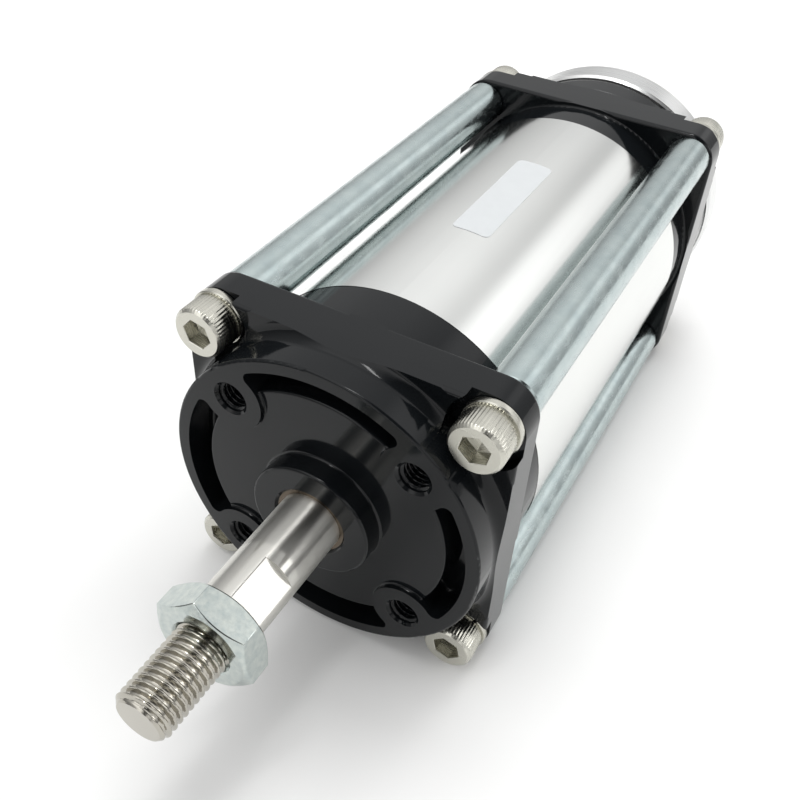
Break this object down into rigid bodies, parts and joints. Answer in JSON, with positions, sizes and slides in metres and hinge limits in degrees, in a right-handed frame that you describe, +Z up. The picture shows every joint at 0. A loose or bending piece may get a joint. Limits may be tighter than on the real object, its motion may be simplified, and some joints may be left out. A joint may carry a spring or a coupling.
{
  "type": "diaphragm cylinder",
  "caption": "Spring-return pneumatic diaphragm cylinder: aluminium barrel between black square covers held by tie rods, with a ground rod, threaded rod end and lock nut.",
  "frame": {"origin": "centre of the front mounting face (the front cover's rim plane) on the rod's axis", "axes": "-Y along the rod towards its threaded end, +Z up, +X to the right seen from the front"},
  "size_m": [0.0648, 0.193, 0.0648],
  "materials": {
    "cover_paint": "gloss black paint on die-cast aluminium",
    "barrel_aluminium": "satin clear anodised",
    "zinc_plate": "bright zinc plate",
    "stainless": "bare stainless steel",
    "rod_steel": "ground and polished",
    "bush_bronze": "bronze-lined",
    "rubber": "fabric-reinforced rubber",
    "spring_steel": "spring wire",
    "inner_metal": "machined",
    "inner_steel": "zinc plated"
  },
  "bodies": {
    "barrel": {"front_cover": "cover_paint", "rear_cover": "cover_paint", "cylinder_tube": "barrel_aluminium", "head_cap": "barrel_aluminium", "tie_rod_upper_left": "zinc_plate", "tie_rod_upper_right": "zinc_plate", "tie_rod_lower_left": "zinc_plate", "tie_rod_lower_right": "zinc_plate", "front_screws": "stainless", "front_lock_washers": "stainless", "rear_screws": "stainless", "rear_lock_washers": "stainless", "head_cap_screws": "stainless", "rod_bush": "bush_bronze", "rolling_diaphragm": "rubber", "head_gasket": "rubber", "return_spring": "spring_steel"},
    "rod": {"piston_rod": "rod_steel", "piston": "inner_metal", "diaphragm_retainer": "inner_metal", "piston_lock_washer": "inner_steel", "piston_nut": "inner_steel"},
    "lock_nut": {"rod_lock_nut": "zinc_plate"}
  },
  "joints": [
    {"name": "rod_slide", "type": "slide", "parent": "barrel", "child": "rod", "axis": [0, -1, 0], "range_m": [0, 0.064], "stiffness_N_per_m": 360, "springref_m": -0.035, "deforming": ["return_spring", "rolling_diaphragm"]},
    {"name": "lock_nut_turn", "type": "hinge", "parent": "rod", "child": "lock_nut", "pos_m": [0, -0.0319, 0], "axis": [0, -1, 0], "continuous": true}
  ]
}
